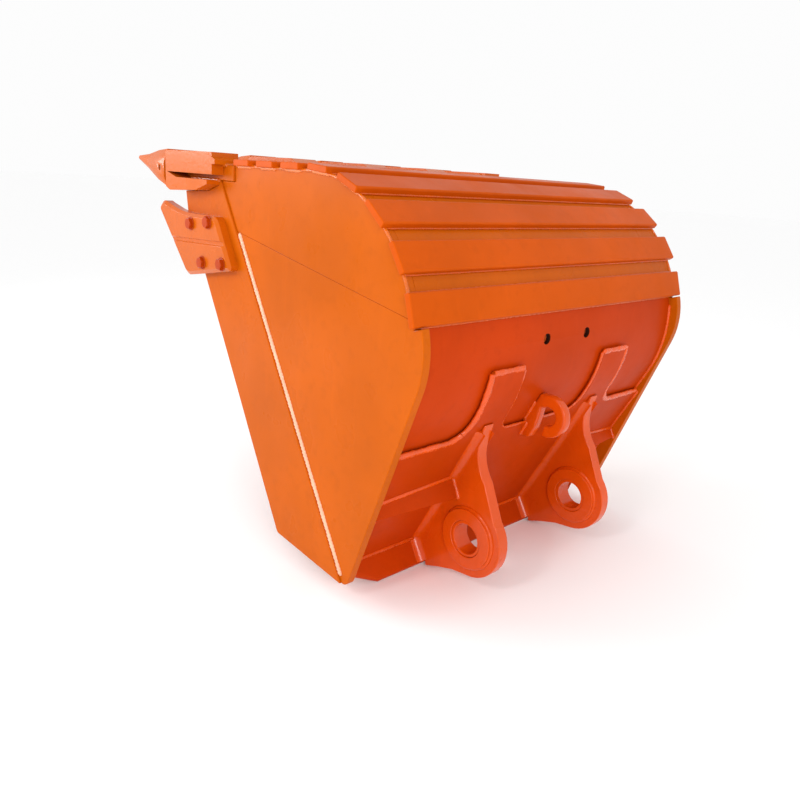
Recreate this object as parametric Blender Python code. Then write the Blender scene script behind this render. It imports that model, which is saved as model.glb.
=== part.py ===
"""Excavator bucket with five pinned teeth, built as separate welded, bolted and pinned pieces.

Units are metres and Z points up.  The origin is the middle of the ear pin axis, which runs along X.
The bucket hangs mouth down and forward: its floor plate is uppermost and level, Y points from the
back plate towards the teeth, and the ears face -Y.
"""
import math

import bmesh
import bpy

# ---- driving dimensions -------------------------------------------------------------------------
GAP = 0.0003                    # clearance left between pieces that touch

HALF_WIDTH = 0.750              # half the width over the side bars
SIDE_PLATE_OUT = 0.742          # outer face of a side plate
SIDE_PLATE_THICK = 0.030
SIDE_BAR_THICK = 0.038
WRAP_THICK = 0.020              # floor, heel and back plates

HEEL_Y = 0.430                  # centre of the heel curve
HEEL_Z = 0.704
HEEL_R = 0.510                  # outer radius of the heel curve
BACK_SLOPE = math.radians(27.5)     # lean of the straight back plate from the vertical
BACK_LENGTH = 0.6392            # straight run of the back plate from the heel curve to the rim
WRAP_SEAM_ANGLE = 162.0         # where the heel plate meets the back plate, under the last strip
SIDE_SPLIT_ANGLE = 169.0        # where the two side plates part at the heel
FLOOR_Z = HEEL_Z + HEEL_R       # outer face of the floor plate
FLOOR_END_Y = 0.905             # where the floor plate meets the lip

STRIP_COUNT = 8
STRIP_PITCH = 0.1505
STRIP_WIDTH = 0.100
STRIP_THICK = 0.022
STRIP_CHAMFER = 0.004
STRIP_FIRST_Y = 0.836
STRIP_OVERHANG = 0.012          # how far a strip's end stands past the side bars

LIP_THICK = 0.055
LIP_HALF_WIDTH = 0.750
LIP_FRONT_Y = 1.295
LIP_BEVEL_LENGTH = 0.065
LIP_EDGE_THICK = 0.018
LIP_TOP = FLOOR_Z
LIP_BOTTOM = FLOOR_Z - LIP_THICK
LIP_MIDDLE = FLOOR_Z - LIP_THICK / 2.0
LIP_BEVEL_Y = LIP_FRONT_Y - LIP_BEVEL_LENGTH

TOOTH_COUNT = 5
TOOTH_PITCH = 0.370
TOOTH_REAR_Y = 1.318
# from rear to tip: y, half widths of the under, middle and top faces, and the lowest and highest z
TOOTH_SECTIONS = ((TOOTH_REAR_Y, 0.070, 0.082, 0.064, 1.120, 1.262),
                  (1.400, 0.068, 0.078, 0.060, 1.143, 1.256),
                  (1.500, 0.064, 0.070, 0.058, 1.184, 1.239),
                  (1.592, 0.062, 0.064, 0.061, 1.217, 1.231))
# from the adapter to its point: y, half width, and the lowest and highest z
NOSE_SECTIONS = ((1.302, 0.058, 1.146, 1.242), (1.400, 0.050, 1.162, 1.236), (1.468, 0.044, 1.186, 1.220))
NOSE_CHAMFER = 0.010
NOSE_CLEARANCE = 0.0015
TOOTH_PIN_Y = 1.362
TOOTH_PIN_Z = 1.190
TOOTH_PIN_R = 0.0110
TOOTH_PIN_BORE_R = 0.0114
TOOTH_PIN_LENGTH = 0.148

ADAPTER_REAR_Y = 0.955
ADAPTER_FRONT_Y = 1.310
ADAPTER_UNDER_Z = 1.108
ADAPTER_TOP_Z = 1.257
ADAPTER_REAR_HALF = 0.0575      # half width at the rear of the outer leg
ADAPTER_FLARE = 0.058           # how much the half width grows for each metre forward
ADAPTER_INNER_LEG = ((1.010, 1.143), (1.090, 1.118))    # rear of the leg inside the bucket
CHEEK_REAR_Y = 0.975            # the corner adapters reach down over the end of the lip
CHEEK_FRONT_Y = 1.300
CHEEK_UNDER_Z = 1.178
CROWN_FRONT_Y = 1.100           # their outer leg keeps its full height to the rear
CROWN_INNER_HALF = 0.050

EAR_INNER = 0.292               # inner face of an ear, measured from the middle
EAR_THICK = 0.046
EAR_HEAD_R = 0.145
EAR_HEAD_SPAN = (138.0, 262.0, 16)      # first and last angle of the round head, and steps
# the ear's hollow upper edge: centre y and z, radius, first and last angle, steps
EAR_UPPER_SWEEP = (-0.170, 0.330, 0.160, 12.0, -42.0, 6)
EAR_UNDER_EDGE = ((0.060, -0.155), (0.130, -0.177), (0.196, -0.202))
EAR_TOP_DOWN = 0.036            # from the heel curve down the back plate to the ear
BOSS_R = 0.110
BOSS_THICK = 0.015
BUSH_R = 0.067
BUSH_SET_IN = 0.003
PIN_BORE_R = 0.055

DOUBLER_THICK = 0.018
EAR_TONGUE_IN = 0.234
EAR_TONGUE_OUT = 0.396
EAR_TONGUE_TOP_Z = 0.630
DOUBLER_EDGE_Z = 0.382          # the doubler's upper edge away from its tongues
DOUBLER_CORNER_R = 0.060
# the edge that sweeps from a tongue to the side: centre x and z, radius, first and last angle, steps
DOUBLER_SWEEP = (0.484, 0.470, 0.088, 180.0, 270.0, 7)
DOUBLER_TOP_ANGLE = 184.0
RIM_BAR_OUT = 0.0190            # how far the rim bar's upper corner stands off the back plate
RIM_BAR_IN = 0.026
RIM_FULL = ((0.6865, 0.1010), (0.7060, 0.0980))     # (down, out) of the bar's corner and its foot
RIM_FADED = ((0.6560, 0.0300), (0.6760, 0.0270))    # the same at the side plates
RIM_FULL_HALF = 0.560

DRAIN_HOLE_R = 0.019
DRAIN_HOLE_X = 0.118
DRAIN_HOLE_Z = 0.715

# a rib's section at the ear and at the side plate: where its slope starts down the back plate, and the
# (down, out) of its outer corner
RIB_AT_EAR = (0.290, (0.336, 0.083))
RIB_AT_SIDE = (0.316, (0.342, 0.058))
RIB_UNDER_DOWN = 0.352

PROTECTOR_THICK = 0.038
PROTECTOR_CORNERS = ((0.862, 0.843), (1.212, 0.782), (1.454, 1.030), (1.410, 1.067), (1.378, 1.055),
                     (1.278, 1.034), (1.196, 1.026), (1.086, 1.027), (0.975, 1.028))
PROTECTOR_ROUNDING = {0: 0.018, 1: 0.018, 2: 0.010, 3: 0.008, 8: 0.018}     # radius at a corner
PROTECTOR_GROOVE = ((0.820, 0.931), (1.420, 0.903), (1.420, 0.915), (0.820, 0.943))
GROOVE_DEPTH = 0.006
BOLT_R = 0.013
BOLT_HEAD_R = 0.023
BOLT_HEAD_THICK = 0.016
BOLT_NUT_THICK = 0.018
BOLT_TAIL = 0.024               # how far a bolt runs on behind the side bar
BOLT_TURN = 20.0                # each hexagon is turned this many degrees more than the last
BOLT_SPOTS = ((1.165, 0.988), (1.026, 1.004), (1.076, 0.848), (0.927, 0.860))

HOOK_THICK = 0.038
HOOK_X = -0.045
HOOK_Y = -0.078
HOOK_Z = 0.425
HOOK_OUT_R = 0.078
HOOK_IN_R = 0.035
HOOK_START = 58.0               # angles where the hook's ring starts and ends
HOOK_END = 283.0
HOOK_FOOT_ANGLE = 203.0         # top of its foot on the heel curve
HOOK_FOOT_EDGE = ((0.030, 0.024), (0.036, -0.015), (0.048, -0.060), (0.068, -0.098))
HOOK_FOOT_DROP = 0.100          # from the ring's centre to the end of the foot

ORANGE = (0.760, 0.150, 0.022)
DEEP_ORANGE = (0.560, 0.085, 0.014)
STRIP_ORANGE = (0.640, 0.110, 0.016)
PIN_GREY = (0.300, 0.290, 0.280)


# ---- helpers ------------------------------------------------------------------------------------
def clear_scene():
    for item in list(bpy.data.objects):
        bpy.data.objects.remove(item, do_unlink=True)


def material(name, colour, roughness, metallic):
    paint = bpy.data.materials.get(name)
    if paint is None:
        paint = bpy.data.materials.new(name)
        paint.use_nodes = True
        shader = paint.node_tree.nodes["Principled BSDF"]
        shader.inputs["Base Color"].default_value = (*colour, 1.0)
        shader.inputs["Roughness"].default_value = roughness
        shader.inputs["Metallic"].default_value = metallic
        paint.diffuse_color = (*colour, 1.0)
    return paint


def enamel(name):
    return material(name + "_enamel", ORANGE, 0.35, 0.0)


def add_object(name, mesh_data, paint):
    mesh = bpy.data.meshes.new(name)
    bmesh.ops.recalc_face_normals(mesh_data, faces=mesh_data.faces)
    mesh_data.to_mesh(mesh)
    mesh_data.free()
    thing = bpy.data.objects.new(name, mesh)
    bpy.context.scene.collection.objects.link(thing)
    if paint is not None:
        mesh.materials.append(paint)
    return thing


def loft(name, sections, paint):
    """A closed solid through rings of corners that all have the same count."""
    mesh_data = bmesh.new()
    rings = [[mesh_data.verts.new(corner) for corner in ring] for ring in sections]
    count = len(rings[0])
    mesh_data.faces.new(rings[0])
    mesh_data.faces.new(rings[-1])
    for first, second in zip(rings, rings[1:]):
        for i in range(count):
            j = (i + 1) % count
            mesh_data.faces.new((first[i], first[j], second[j], second[i]))
    return add_object(name, mesh_data, paint)


def prism(name, outline, x_start, x_end, paint):
    """A plate: an outline of (y, z) corners carried from x_start to x_end."""
    rings = [[(x, y, z) for y, z in outline] for x in (x_start, x_end)]
    return loft(name, rings, paint)


def arc(y, z, radius, start, end, steps):
    """Points of an arc about (y, z); angles in degrees from +Y towards +Z."""
    points = []
    for i in range(steps + 1):
        angle = math.radians(start + (end - start) * i / steps)
        points.append((y + radius * math.cos(angle), z + radius * math.sin(angle)))
    return points


def bar_along_x(name, y, z, radius, x_start, x_end, sides, paint, turn=0.0):
    outline = arc(y, z, radius, turn, turn + 360.0 * (sides - 1) / sides, sides - 1)
    return prism(name, outline, x_start, x_end, paint)


def hide_cutter(cutter):
    cutter.hide_render = True
    cutter.display_type = "WIRE"


def combine(target, cutter, operation):
    step = target.modifiers.new(cutter.name, "BOOLEAN")
    step.operation = operation
    step.solver = "EXACT"
    step.object = cutter
    hide_cutter(cutter)


def back_point(down, out):
    """A point beside the straight back plate: down its outer face, and out from that face."""
    start_y = HEEL_Y - HEEL_R * math.cos(BACK_SLOPE)
    start_z = HEEL_Z - HEEL_R * math.sin(BACK_SLOPE)
    y = start_y + down * math.sin(BACK_SLOPE) - out * math.cos(BACK_SLOPE)
    z = start_z - down * math.cos(BACK_SLOPE) - out * math.sin(BACK_SLOPE)
    return (y, z)


def at_height(z, out):
    """The point beside the straight back plate that is at height z and out from the plate."""
    start_z = HEEL_Z - HEEL_R * math.sin(BACK_SLOPE)
    down = (start_z - out * math.sin(BACK_SLOPE) - z) / math.cos(BACK_SLOPE)
    return back_point(down, out)


def rounded(corners, radius_by_corner, steps=4):
    """The outline with the given corners replaced by arcs that are tangent to their two sides."""
    points = []
    count = len(corners)
    for i, (y, z) in enumerate(corners):
        radius = radius_by_corner.get(i)
        if radius is None:
            points.append((y, z))
            continue
        before = corners[i - 1]
        after = corners[(i + 1) % count]
        to_before = math.atan2(before[1] - z, before[0] - y)
        to_after = math.atan2(after[1] - z, after[0] - y)
        turn = (to_after - to_before + math.pi) % (2.0 * math.pi) - math.pi
        middle = to_before + turn / 2.0
        reach = radius / abs(math.sin(turn / 2.0))
        centre = (y + reach * math.cos(middle), z + reach * math.sin(middle))
        side = 1.0 if turn > 0.0 else -1.0
        start = to_before - side * math.pi / 2.0
        sweep = side * (abs(turn) - math.pi)
        for k in range(steps + 1):
            angle = start + sweep * k / steps
            points.append((centre[0] + radius * math.cos(angle), centre[1] + radius * math.sin(angle)))
    return points


# ---- shell --------------------------------------------------------------------------------------
SIDE_IN = SIDE_PLATE_OUT - SIDE_PLATE_THICK     # inner face of a side plate
SEAM_BOTTOM = (0.207, -0.116)                   # seam between side plate and side bar
SEAM_TOP = (1.000, 1.1587)
SIDE_SPLIT_Z = 0.9825                           # where the two side plates part at the seam
SIDE_RIM_Z = -0.131                             # foot of the side plates and side bars
# the lower plate's rear edge stands past the wrapper: centre y and z, radius, first and last angle, steps
SIDE_EDGE = (0.1885, 0.720, 0.305, 162.5, 199.9, 9)
SIDE_FOOT = (0.172, SIDE_RIM_Z)                 # corner under that edge
SIDE_FOOT_ROUNDING = 0.028
SPLIT_LEAD = 3.0                                # degrees of the split that follow the heel curve
BAR_FOOT_FRONT = (0.585, -0.104)
BAR_CHEST = (1.262, 1.020)                      # where the side bar's front edge turns upright
BAR_TOP_Y = 1.278
BAR_FOOT_ROUNDING = 0.020


def seam_y(z):
    share = (z - SEAM_BOTTOM[1]) / (SEAM_TOP[1] - SEAM_BOTTOM[1])
    return SEAM_BOTTOM[0] + share * (SEAM_TOP[0] - SEAM_BOTTOM[0])


def build_wrapper():
    inner = HEEL_R - WRAP_THICK
    split = WRAP_SEAM_ANGLE
    outline = [(FLOOR_END_Y - GAP, FLOOR_Z)]
    outline += arc(HEEL_Y, HEEL_Z, HEEL_R, 90.0, split, 16)
    outline += arc(HEEL_Y, HEEL_Z, inner, split, 90.0, 16)
    outline.append((FLOOR_END_Y - GAP, FLOOR_Z - WRAP_THICK))
    half = SIDE_IN - GAP
    prism("floor_and_heel_plate", outline, -half, half, enamel("floor_and_heel_plate"))

    first = split + math.degrees(GAP / HEEL_R) * 1.2
    last = 180.0 + math.degrees(BACK_SLOPE)
    outline = arc(HEEL_Y, HEEL_Z, HEEL_R, first, last, 8)
    outline.append(back_point(BACK_LENGTH, 0.0))
    outline.append(back_point(BACK_LENGTH, -WRAP_THICK))
    outline += arc(HEEL_Y, HEEL_Z, inner, last, first, 8)
    back = prism("back_plate", outline, -half, half, material("back_plate_enamel", DEEP_ORANGE, 0.4, 0.0))
    for side in (-1, 1):
        hole = bar_along_x("drain_hole_cutter_%d" % (side + 1), 0.0, 0.0, DRAIN_HOLE_R, -0.08, 0.08, 16, None)
        hole.rotation_euler = (0.0, 0.0, math.radians(90.0))
        hole.location = (side * DRAIN_HOLE_X, HEEL_Y - HEEL_R, DRAIN_HOLE_Z)
        combine(back, hole, "DIFFERENCE")


def side_plate_lower_outline():
    """From the heel end of the split, round the rear edge and the foot, to the seam end of the split."""
    corners = arc(HEEL_Y, HEEL_Z, HEEL_R - GAP, SIDE_SPLIT_ANGLE - SPLIT_LEAD, SIDE_SPLIT_ANGLE, 2)
    corners += arc(*SIDE_EDGE)
    foot = len(corners)
    corners.append(SIDE_FOOT)
    corners.append((seam_y(SIDE_RIM_Z) - GAP, SIDE_RIM_Z))
    corners.append((seam_y(SIDE_SPLIT_Z) - GAP, SIDE_SPLIT_Z))
    return rounded(corners, {foot: SIDE_FOOT_ROUNDING}, 4)


def build_sides():
    for side, tag in ((-1, "left"), (1, "right")):
        outer = side * SIDE_PLATE_OUT
        inner = side * SIDE_IN
        lower = side_plate_lower_outline()
        prism("side_plate_lower_" + tag, lower, inner, outer, enamel("side_plate_lower_" + tag))

        split_heel = lower[0]
        split_bar = lower[-1]
        upper = [(split_bar[0] + GAP / 3.0, split_bar[1] + GAP)]
        upper.append((SEAM_TOP[0] - GAP, SEAM_TOP[1] - GAP))
        upper.append((FLOOR_END_Y - GAP, SEAM_TOP[1] - GAP))
        upper.append((FLOOR_END_Y - GAP, FLOOR_Z))
        upper += arc(HEEL_Y, HEEL_Z, HEEL_R, 90.0, SIDE_SPLIT_ANGLE - SPLIT_LEAD, 16)[:-1]
        upper.append((split_heel[0] + GAP / 3.0, split_heel[1] + GAP))
        prism("side_plate_upper_" + tag, upper, inner, outer, enamel("side_plate_upper_" + tag))

        bar = [(seam_y(SIDE_RIM_Z), SIDE_RIM_Z), BAR_FOOT_FRONT, BAR_CHEST]
        bar.append((BAR_TOP_Y, ADAPTER_UNDER_Z - 2.0 * GAP))
        bar += [(y - GAP, z - 2.0 * GAP) for y, z in reversed(ADAPTER_INNER_LEG)]
        bar.append((ADAPTER_INNER_LEG[0][0] - GAP, LIP_BOTTOM - GAP))
        bar.append((SEAM_TOP[0], LIP_BOTTOM - GAP))
        bar = rounded(bar, {1: BAR_FOOT_ROUNDING}, 3)
        bar_in = side * (HALF_WIDTH - SIDE_BAR_THICK)
        piece = prism("side_bar_" + tag, bar, bar_in, side * HALF_WIDTH, enamel("side_bar_" + tag))
        for number, (y, z) in enumerate(BOLT_SPOTS):
            name = "bolt_hole_cutter_%s_%d" % (tag, number)
            hole = bar_along_x(name, y, z, BOLT_R + GAP, side * 0.65, side * 0.85, 12, None)
            combine(piece, hole, "DIFFERENCE")


def strip_place(number):
    """Middle of a wear strip's inner face, and the direction that it faces, in degrees."""
    run = number * STRIP_PITCH
    flat = STRIP_FIRST_Y - HEEL_Y
    if run <= flat:
        return (STRIP_FIRST_Y - run, FLOOR_Z, 90.0)
    facing = 90.0 + math.degrees((run - flat) / HEEL_R)
    point = arc(HEEL_Y, HEEL_Z, HEEL_R, facing, facing, 1)[0]
    return (point[0], point[1], facing)


def build_wear_strips():
    paint = material("wear_strip_enamel", STRIP_ORANGE, 0.4, 0.0)
    half = STRIP_WIDTH / 2.0
    for number in range(STRIP_COUNT):
        y, z, facing = strip_place(number)
        out_y = math.cos(math.radians(facing))
        out_z = math.sin(math.radians(facing))
        profile = ((-half, GAP), (half, GAP), (half, STRIP_THICK - STRIP_CHAMFER),
                   (half - STRIP_CHAMFER, STRIP_THICK), (-half + STRIP_CHAMFER, STRIP_THICK),
                   (-half, STRIP_THICK - STRIP_CHAMFER))
        outline = []
        for along, out in profile:
            outline.append((y - along * out_z + out * out_y, z + along * out_y + out * out_z))
        name = "wear_strip_%d" % (number + 1)
        reach = HALF_WIDTH + STRIP_OVERHANG
        prism(name, outline, -reach, reach, paint)


# ---- lip, adapters and teeth ----------------------------------------------------------------------
def build_lip():
    edge = LIP_EDGE_THICK / 2.0
    outline = [(FLOOR_END_Y, LIP_BOTTOM), (LIP_BEVEL_Y, LIP_BOTTOM),
               (LIP_FRONT_Y, LIP_MIDDLE - edge), (LIP_FRONT_Y, LIP_MIDDLE + edge),
               (LIP_BEVEL_Y, LIP_TOP), (FLOOR_END_Y, LIP_TOP)]
    prism("lip_plate", outline, -LIP_HALF_WIDTH, LIP_HALF_WIDTH, enamel("lip_plate"))


def tooth_x(number):
    return (number - (TOOTH_COUNT - 1) / 2.0) * TOOTH_PITCH


def octagon(x, y, half_low, half_mid, half_top, z_low, z_top):
    """A section across a tooth: narrow top and bottom faces and sloping shoulders."""
    height = z_top - z_low
    z_under = z_low + 0.25 * height
    z_over = z_low + 0.62 * height
    return [(x - half_low, y, z_low), (x + half_low, y, z_low),
            (x + half_mid, y, z_under), (x + half_mid, y, z_over),
            (x + half_top, y, z_top), (x - half_top, y, z_top),
            (x - half_mid, y, z_over), (x - half_mid, y, z_under)]


def nose_solid(name, x, grow):
    """The adapter's nose, or the pocket that it fits, with its faces moved out by grow."""
    rings = []
    cut = NOSE_CHAMFER
    for number, (y, half_x, z_low, z_top) in enumerate(NOSE_SECTIONS):
        half = half_x + grow
        low = z_low - grow
        top = z_top + grow
        if number == len(NOSE_SECTIONS) - 1:
            y += grow
        rings.append([(x - half + cut, y, low), (x + half - cut, y, low), (x + half, y, low + cut),
                      (x + half, y, top - cut), (x + half - cut, y, top), (x - half + cut, y, top),
                      (x - half, y, top - cut), (x - half, y, low + cut)])
    return loft(name, rings, None)


def adapter_half(y):
    """Half of an adapter's width at y."""
    return ADAPTER_REAR_HALF + ADAPTER_FLARE * (y - ADAPTER_REAR_Y)


def add_cheek(body, name, x):
    """Fills a corner adapter outboard of the lip, and squares the rear of its outer leg."""
    side = math.copysign(1.0, x)
    lip_end = side * (LIP_HALF_WIDTH + 2.0 * GAP)
    top = ADAPTER_TOP_Z - GAP
    blocks = (("cheek_of_" + name, lip_end, CHEEK_FRONT_Y, CHEEK_UNDER_Z),
              ("crown_of_" + name, x - side * CROWN_INNER_HALF, CROWN_FRONT_Y, LIP_TOP + 2.0 * GAP))
    for block, inner, front, under in blocks:
        outline = ((CHEEK_REAR_Y, under), (front, under), (front, top), (CHEEK_REAR_Y, top))
        rings = [[(inner, y, z) for y, z in outline],
                 [(x + side * (adapter_half(y) - GAP), y, z) for y, z in outline]]
        combine(body, loft(block, rings, None), "UNION")


def build_adapter(number):
    x = tooth_x(number)
    name = "tooth_adapter_%d" % (number + 1)
    edge = LIP_EDGE_THICK / 2.0
    slot = GAP * 2.0
    outline = [(ADAPTER_REAR_Y, LIP_TOP + slot), (LIP_BEVEL_Y + slot, LIP_TOP + slot),
               (LIP_FRONT_Y + slot, LIP_MIDDLE + edge + slot),
               (LIP_FRONT_Y + slot, LIP_MIDDLE - edge - slot),
               (LIP_BEVEL_Y + slot, LIP_BOTTOM - slot), (ADAPTER_INNER_LEG[0][0], LIP_BOTTOM - slot)]
    outline += ADAPTER_INNER_LEG
    outline += [(ADAPTER_FRONT_Y - 0.030, ADAPTER_UNDER_Z), (ADAPTER_FRONT_Y, ADAPTER_UNDER_Z + 0.012),
                (ADAPTER_FRONT_Y, ADAPTER_TOP_Z - 0.008), (ADAPTER_FRONT_Y - 0.020, ADAPTER_TOP_Z),
                (ADAPTER_REAR_Y + 0.065, ADAPTER_TOP_Z), (ADAPTER_REAR_Y, ADAPTER_TOP_Z - 0.025)]
    rings = []
    for side in (-1.0, 1.0):
        rings.append([(x + side * adapter_half(y), y, z) for y, z in outline])
    body = loft(name, rings, enamel(name))
    combine(body, nose_solid("nose_of_" + name, x, 0.0), "UNION")
    if number in (0, TOOTH_COUNT - 1):
        add_cheek(body, name, x)
    bore = bar_along_x("pin_bore_of_" + name, TOOTH_PIN_Y, TOOTH_PIN_Z, TOOTH_PIN_BORE_R,
                       x - TOOTH_PIN_LENGTH, x + TOOTH_PIN_LENGTH, 16, None)
    combine(body, bore, "DIFFERENCE")


def build_tooth(number):
    x = tooth_x(number)
    name = "tooth_%d" % (number + 1)
    rings = [octagon(x, *section) for section in TOOTH_SECTIONS]
    body = loft(name, rings, enamel(name))
    combine(body, nose_solid("pocket_of_" + name, x, NOSE_CLEARANCE), "DIFFERENCE")
    bore = bar_along_x("pin_bore_of_" + name, TOOTH_PIN_Y, TOOTH_PIN_Z, TOOTH_PIN_BORE_R,
                       x - TOOTH_PIN_LENGTH, x + TOOTH_PIN_LENGTH, 16, None)
    combine(body, bore, "DIFFERENCE")


def build_tooth_pin(number):
    half = TOOTH_PIN_LENGTH / 2.0
    name = "tooth_pin_%d" % (number + 1)
    pin = bar_along_x(name, 0.0, 0.0, TOOTH_PIN_R, -half, half, 16, material("pin_steel", PIN_GREY, 0.4, 0.9))
    pin.location = (tooth_x(number), TOOTH_PIN_Y, TOOTH_PIN_Z)


# ---- side protectors ------------------------------------------------------------------------------
def build_protectors():
    for side, tag in ((-1, "left"), (1, "right")):
        outline = rounded(PROTECTOR_CORNERS, PROTECTOR_ROUNDING, 3)
        near = side * (HALF_WIDTH + GAP)
        far = side * (HALF_WIDTH + PROTECTOR_THICK)
        name = "side_protector_" + tag
        plate = prism(name, outline, near, far, enamel(name))
        cutter = prism("groove_cutter_" + tag, PROTECTOR_GROOVE, far - side * GROOVE_DEPTH,
                       far + side * PROTECTOR_THICK, None)
        combine(plate, cutter, "DIFFERENCE")
        for number, (y, z) in enumerate(BOLT_SPOTS):
            hole_name = "protector_hole_cutter_%s_%d" % (tag, number)
            hole = bar_along_x(hole_name, y, z, BOLT_R + GAP, side * 0.70, side * 0.85, 12, None)
            combine(plate, hole, "DIFFERENCE")
            build_bolt(side, tag, number, y, z)


def build_bolt(side, tag, number, y, z):
    """A hexagon bolt with its nut drawn up behind the side bar."""
    name = "protector_bolt_%s_%d" % (tag, number + 1)
    head_near = HALF_WIDTH + PROTECTOR_THICK + GAP
    nut_near = HALF_WIDTH - SIDE_BAR_THICK - GAP
    shank_end = nut_near - BOLT_TAIL
    turn = BOLT_TURN * number
    head = bar_along_x(name, y, z, BOLT_HEAD_R, side * head_near, side * (head_near + BOLT_HEAD_THICK), 6,
                       enamel(name), turn)
    shank = bar_along_x("shank_of_" + name, y, z, BOLT_R - GAP, side * shank_end,
                        side * (head_near + 0.004), 12, None)
    nut = bar_along_x("nut_of_" + name, y, z, BOLT_HEAD_R, side * (nut_near - BOLT_NUT_THICK),
                      side * nut_near, 6, None, turn)
    combine(head, shank, "UNION")
    combine(head, nut, "UNION")


# ---- ears and hinge end ---------------------------------------------------------------------------
def build_doubler():
    """The fishtail plate on the back plate, with a tongue that rises above each ear."""
    base = GAP
    top = DOUBLER_THICK + GAP
    last = 180.0 + math.degrees(BACK_SLOPE)
    outline = arc(HEEL_Y, HEEL_Z, HEEL_R + top, DOUBLER_TOP_ANGLE, last, 8)
    outline.append(back_point(BACK_LENGTH, top))
    outline.append(back_point(BACK_LENGTH, base))
    outline += arc(HEEL_Y, HEEL_Z, HEEL_R + base, last, DOUBLER_TOP_ANGLE, 8)
    half = SIDE_IN - GAP
    name = "hinge_doubler_plate"
    plate = prism(name, outline, -half, half, material(name + "_enamel", DEEP_ORANGE, 0.4, 0.0))

    wide = SIDE_IN + 0.05
    corner = DOUBLER_CORNER_R
    right_half = [(0.0, DOUBLER_EDGE_Z), (EAR_TONGUE_IN - corner, DOUBLER_EDGE_Z)]
    right_half += arc(EAR_TONGUE_IN - corner, DOUBLER_EDGE_Z + corner, corner, 270.0, 360.0, 4)[1:]
    right_half += [(EAR_TONGUE_IN, EAR_TONGUE_TOP_Z), (EAR_TONGUE_OUT, EAR_TONGUE_TOP_Z)]
    right_half += arc(*DOUBLER_SWEEP)
    right_half += [(wide, DOUBLER_EDGE_Z), (wide, -0.30)]
    left_half = [(-x, z) for x, z in reversed(right_half[1:])]
    shape = right_half + left_half
    rings = [[(x, y, z) for x, z in shape] for y in (-0.25, 0.60)]
    cutter = loft("doubler_outline_cutter", rings, None)
    combine(plate, cutter, "INTERSECT")


def build_rim_bar():
    """The bar that closes the hinge end of the back plate; its outer corner fades near the sides."""
    sections = []
    for corner, foot in (RIM_FULL, RIM_FADED):
        near = BACK_LENGTH + GAP
        sections.append([back_point(near, -RIM_BAR_IN), back_point(near, RIM_BAR_OUT), back_point(*corner),
                         back_point(*foot), back_point(foot[0], -RIM_BAR_IN)])
    full, faded = sections
    half = SIDE_IN - GAP
    rings = []
    for x, outline in ((-half, faded), (-RIM_FULL_HALF, full), (RIM_FULL_HALF, full), (half, faded)):
        rings.append([(x, y, z) for y, z in outline])
    loft("hinge_rim_bar", rings, material("hinge_rim_bar_enamel", DEEP_ORANGE, 0.4, 0.0))


def ear_outline():
    surface = DOUBLER_THICK + 2.0 * GAP
    top = back_point(EAR_TOP_DOWN, surface)
    crease = back_point(BACK_LENGTH - 0.004, surface)
    corner = back_point(*RIM_FULL[0])
    shift = GAP * 1.5
    outline = [(top[0] - 0.008, top[1] + 0.003)]
    outline += arc(*EAR_UPPER_SWEEP)
    outline += arc(0.0, 0.0, EAR_HEAD_R, *EAR_HEAD_SPAN)
    outline += EAR_UNDER_EDGE
    outline.append((corner[0] - shift - 0.004, corner[1] + shift + 0.006))
    outline.append((crease[0] - shift, crease[1] + shift))
    outline.append(top)
    return outline


def build_ears():
    for side, tag in ((-1, "left"), (1, "right")):
        near = side * EAR_INNER
        far = side * (EAR_INNER + EAR_THICK)
        name = "ear_" + tag
        ear = prism(name, ear_outline(), near, far, enamel(name))
        bore = bar_along_x("bore_cutter_" + tag, 0.0, 0.0, BUSH_R + GAP, side * 0.20, side * 0.45, 32, None)
        combine(ear, bore, "DIFFERENCE")

        in_face = EAR_INNER - GAP
        out_face = EAR_INNER + EAR_THICK + GAP
        for place, start, end in (("outer", out_face, out_face + BOSS_THICK),
                                  ("inner", in_face - BOSS_THICK, in_face)):
            boss_name = "ear_boss_%s_%s" % (tag, place)
            boss = bar_along_x(boss_name, 0.0, 0.0, BOSS_R, side * start, side * end, 32, enamel(boss_name))
            hole = bar_along_x("hole_of_" + boss_name, 0.0, 0.0, BUSH_R + GAP, side * (start - 0.02),
                               side * (end + 0.02), 32, None)
            combine(boss, hole, "DIFFERENCE")

        bush_name = "ear_bush_" + tag
        bush_start = side * (in_face - BOSS_THICK + BUSH_SET_IN)
        bush_end = side * (out_face + BOSS_THICK - BUSH_SET_IN)
        bush = bar_along_x(bush_name, 0.0, 0.0, BUSH_R, bush_start, bush_end, 32,
                           material(bush_name + "_steel", DEEP_ORANGE, 0.35, 0.2))
        hole = bar_along_x("hole_of_" + bush_name, 0.0, 0.0, PIN_BORE_R, side * 0.20, side * 0.45, 32, None)
        combine(bush, hole, "DIFFERENCE")

        build_rib(side, tag)


def build_rib(side, tag):
    """A sloping gusset from an ear to the side plate, deep at the ear and shallow at the side."""
    surface = DOUBLER_THICK + 2.0 * GAP
    name = "hinge_rib_" + tag
    rings = []
    for x, top, outer in ((EAR_INNER + EAR_THICK + GAP, *RIB_AT_EAR), (SIDE_IN - GAP, *RIB_AT_SIDE)):
        outline = (back_point(top, surface), back_point(*outer), back_point(RIB_UNDER_DOWN, surface))
        rings.append([(side * x, y, z) for y, z in outline])
    loft(name, rings, material(name + "_enamel", DEEP_ORANGE, 0.4, 0.0))


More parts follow.
